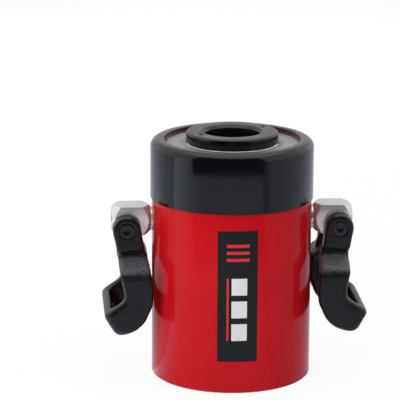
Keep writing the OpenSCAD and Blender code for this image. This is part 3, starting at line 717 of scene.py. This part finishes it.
def make_bail(side):
    """The forged bail: its corners softened as a die leaves them, and its bores cut clean again."""
    node = f"bail_{side}"
    bail = copy_of_node(node, f"forged_bail_{side}")
    remesh = bail.modifiers.new("skin", "REMESH")
    remesh.mode = "VOXEL"
    remesh.voxel_size = BAIL_VOXEL
    apply_modifiers(bail)
    weigh_group(bail, "strap", lambda place: (STRAP_HIGH - place.z) / STRAP_BORDER)
    for name, turns, group in (("soften", BAIL_SMOOTHING, ""),
                               ("soften_strap", STRAP_SMOOTHING, "strap")):
        soften = bail.modifiers.new(name, "SMOOTH")
        soften.factor = 0.5
        soften.iterations = turns
        soften.vertex_group = group
    apply_modifiers(bail)
    fill_heel(bail, side)
    forge_skin(bail)
    screws_low, screws_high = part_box(f"bail_screws_{side}")
    middle = (screws_low + screws_high) / 2
    head_radius = (screws_high.z - screws_low.z) / 2
    for hand in (-1, 1):
        floor_y = hand * (screws_high.y - HEAD_DEPTH)
        outside_y = hand * (screws_high.y + 4 * MM)
        cut_with(bail, add_rod("counterbore", head_radius + HEAD_GAP,
                               (middle.x, floor_y, middle.z), (middle.x, outside_y, middle.z)))
    smooth_by_angle(bail, 60)
    stands_for(bail, node, FORGED)


def make_lifting_rings():
    for side in ("left", "right"):
        make_ring_fittings(side)
        make_bail(side)


# Oil coupler


CAP_RIBS = 28
RIB_WIDTH, RIB_LENGTH, RIB_HEIGHT = 1.2 * MM, 7.6 * MM, 1.0 * MM
# How far the rib's middle lies behind the cap's front, and inside its widest radius
RIB_BACK, RIB_SUNK = 6.1 * MM, 0.62 * MM


def make_cap_ribs():
    """Small grip ribs round the waist of the dust cap: one is modelled and spun round."""
    low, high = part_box("dust_cap")
    body_low, body_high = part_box("coupler_body")
    axis_z = (body_low.z + body_high.z) / 2
    radius = (high.x - low.x) / 2
    deselect_all()
    bpy.ops.mesh.primitive_cube_add(
        size=1.0, scale=(RIB_WIDTH, RIB_LENGTH, RIB_HEIGHT),
        location=(0, high.y - RIB_BACK, axis_z + radius - RIB_SUNK))
    ribs = bpy.context.object
    ribs.name = "cap_ribs"
    apply_place(ribs)
    edit_all(ribs)
    bpy.ops.mesh.bevel(offset=0.3 * MM, segments=2, affect="EDGES")
    bpy.ops.mesh.select_all(action="SELECT")
    bpy.ops.mesh.spin(steps=CAP_RIBS, dupli=True, angle=2 * math.pi,
                      center=(0, 0, axis_z), axis=(0, 1, 0))
    bpy.ops.mesh.select_all(action="SELECT")
    bpy.ops.mesh.remove_doubles(threshold=0.01 * MM)
    bpy.ops.mesh.normals_make_consistent(inside=False)
    leave_edit()
    smooth_by_angle(ribs, 40)
    adds_to(ribs, "dust_cap", RUBBER)


def make_coupler():
    finish_copy("coupler_nipple", "plated_nipple", NICKEL, width=0.35, over=25)
    finish_copy("coupler_body", "plated_barrel", NICKEL, width=0.3)
    finish_copy("dust_cap", "rubber_cap", RUBBER, width=0.6, over=25)
    finish_copy("cap_strap", "rubber_strap", RUBBER, width=0.5)
    make_cap_ribs()


# Stage


# What share of the floor the camera sees as plain white
FLOOR_LIFT = 0.93
# The floor lies just below the object's base, so that the two faces don't flicker
FLOOR_HEIGHT = -0.0002
# How bright the floor looks in reflections, by the turn in degrees from the front towards the
# right, and its slight blue tint there
FLOOR_LEVELS = ((-88, 1.5), (-66, 0.95), (-45, 0.65), (34, 0.65), (42, 0.32), (50, 0.6),
                (110, 0.65), (180, 0.7), (250, 0.7))
FLOOR_TINT = (0.92, 0.99, 1.12)
# What share of the white surroundings lights the object, and the point that the lamps aim at
STUDIO_FILL = 0.35
STUDIO_MIDDLE = (0, 0, 0.13)
# Each lamp's place, width and height in metres, and power in watts
LAMPS = (
    ("left_softbox", (-1.3, -1.5, 1.1), (1.0, 1.2), 26),
    ("right_softbox", (1.7, -0.6, 0.9), (0.5, 1.2), 2.5),
    ("top_softbox", (0.0, -0.2, 1.9), (1.4, 1.0), 13),
    ("back_softbox", (-0.3, 2.0, 1.0), (1.6, 1.2), 20),
)


def make_floor():
    """Pale floor. In reflections it shows the studio's brighter and darker sides."""
    deselect_all()
    bpy.ops.mesh.primitive_plane_add(size=40.0, location=(0, 0, FLOOR_HEIGHT))
    floor = bpy.context.object
    floor.name = "floor"
    material = bpy.data.materials.new("pale_floor")
    material.use_nodes = True
    tree = material.node_tree
    shader = tree.nodes["Principled BSDF"]
    shader.inputs["Base Color"].default_value = (0.9, 0.9, 0.9, 1.0)
    shader.inputs["Roughness"].default_value = 0.9
    shader.inputs["Specular IOR Level"].default_value = 0.1
    light = add_node(tree, "ShaderNodeLightPath")
    compass = add_node(tree, "ShaderNodeTexGradient", gradient_type="RADIAL")
    tree.links.new(object_place(tree), compass.inputs["Vector"])
    sides = add_node(tree, "ShaderNodeValToRGB")
    for index, (turn, level) in enumerate(FLOOR_LEVELS):
        place = turn / 360 + 0.25
        stops = sides.color_ramp.elements
        stop = stops[index] if index < 2 else stops.new(place)
        stop.position = place
        stop.color = (*(level * tint for tint in FLOOR_TINT), 1.0)
    tree.links.new(compass.outputs["Color"], sides.inputs["Fac"])
    seen = add_node(tree, "ShaderNodeEmission")
    mirrored = add_node(tree, "ShaderNodeEmission")
    tree.links.new(sides.outputs["Color"], mirrored.inputs["Color"])
    camera_blend = add_node(tree, "ShaderNodeMixShader")
    mirror_blend = add_node(tree, "ShaderNodeMixShader")
    camera_share = math_node(tree, "MULTIPLY", light.outputs["Is Camera Ray"], FLOOR_LIFT)
    tree.links.new(camera_share, camera_blend.inputs[0])
    tree.links.new(shader.outputs[0], camera_blend.inputs[1])
    tree.links.new(seen.outputs[0], camera_blend.inputs[2])
    tree.links.new(light.outputs["Is Glossy Ray"], mirror_blend.inputs[0])
    tree.links.new(camera_blend.outputs[0], mirror_blend.inputs[1])
    tree.links.new(mirrored.outputs[0], mirror_blend.inputs[2])
    tree.links.new(mirror_blend.outputs[0], tree.nodes["Material Output"].inputs["Surface"])
    floor.data.materials.append(material)


def add_card(name, left, right, low, high, distance, level):
    """A curved card that only shows in reflections, between two turns from the front."""
    deselect_all()
    bpy.ops.mesh.primitive_cylinder_add(vertices=180, radius=distance, depth=high - low,
                                        end_fill_type="NOTHING", location=(0, 0, (low + high) / 2))
    card = bpy.context.object
    card.name = name
    apply_place(card)

    def outside(centre):
        turn = math.degrees(math.atan2(centre.x, -centre.y))
        return (turn - left) % 360 > right - left

    select_where(card, outside)
    bpy.ops.mesh.delete(type="FACE")
    leave_edit()
    light_card(card, level)


def add_ceiling(name, width, depth, place, level):
    """A level card overhead that only shows in reflections."""
    deselect_all()
    bpy.ops.mesh.primitive_plane_add(size=1.0, location=place)
    card = bpy.context.object
    card.name = name
    card.scale = (width, depth, 1.0)
    apply_place(card)
    light_card(card, level)


def light_card(card, level):
    """Makes a card glow for reflections alone, unseen by the camera, diffuse light and shadows."""
    material = bpy.data.materials.new(card.name)
    material.use_nodes = True
    glow = add_node(material.node_tree, "ShaderNodeEmission")
    glow.inputs["Strength"].default_value = level
    material.node_tree.links.new(glow.outputs[0],
                                 material.node_tree.nodes["Material Output"].inputs["Surface"])
    card.data.materials.append(material)
    card.visible_camera = False
    card.visible_diffuse = False
    card.visible_shadow = False
    card.visible_transmission = False


def make_world():
    """White surroundings, which light the object less than they look."""
    world = bpy.data.worlds.new("studio")
    bpy.context.scene.world = world
    world.use_nodes = True
    tree = world.node_tree
    background = tree.nodes["Background"]
    light = add_node(tree, "ShaderNodeLightPath")
    seen = math_node(tree, "MAXIMUM", light.outputs["Is Camera Ray"],
                     math_node(tree, "MAXIMUM", light.outputs["Is Glossy Ray"],
                               light.outputs["Is Transmission Ray"]))
    strength = range_node(tree, seen, 0.0, 1.0, STUDIO_FILL, 1.0)
    background.inputs["Color"].default_value = (1, 1, 1, 1)
    tree.links.new(strength, background.inputs["Strength"])


def add_softbox(name, place, size, power):
    """A soft lamp aimed at the middle of the object, which doesn't show in reflections."""
    data = bpy.data.lights.new(name, "AREA")
    data.shape = "RECTANGLE"
    data.size, data.size_y = size
    data.energy = power
    lamp = bpy.data.objects.new(name, data)
    bpy.context.scene.collection.objects.link(lamp)
    lamp.location = place
    lamp.visible_glossy = False
    aim = Vector(STUDIO_MIDDLE) - lamp.location
    lamp.rotation_euler = aim.to_track_quat("-Z", "Y").to_euler()


def make_camera():
    data = bpy.data.cameras.new("camera")
    data.lens = CAMERA_LENS
    data.sensor_width = SENSOR_WIDTH
    data.clip_end = 100.0
    camera = bpy.data.objects.new("camera", data)
    bpy.context.scene.collection.objects.link(camera)
    turn = (Matrix.Rotation(math.radians(CAMERA_YAW), 4, "Z")
            @ Matrix.Rotation(math.radians(90 + CAMERA_PITCH), 4, "X")
            @ Matrix.Rotation(math.radians(CAMERA_ROLL), 4, "Z"))
    camera.matrix_world = Matrix.Translation(CAMERA_PLACE) @ turn
    bpy.context.scene.camera = camera


make_camera()
dress_cad_nodes()
make_turned_pieces()
make_springs()
make_label()
make_lifting_rings()
make_coupler()
make_floor()
make_world()
for lamp in LAMPS:
    add_softbox(*lamp)
add_card("front_card", left=-59, right=40, low=0.0, high=1.4, distance=0.95, level=0.02)
add_card("back_card", left=145, right=215, low=0.1, high=3.0, distance=3.0, level=0.7)
add_ceiling("top_card", width=2.6, depth=2.0, place=(0.0, 0.1, 2.2), level=1.8)
bpy.context.scene.view_settings.view_transform = "Standard"
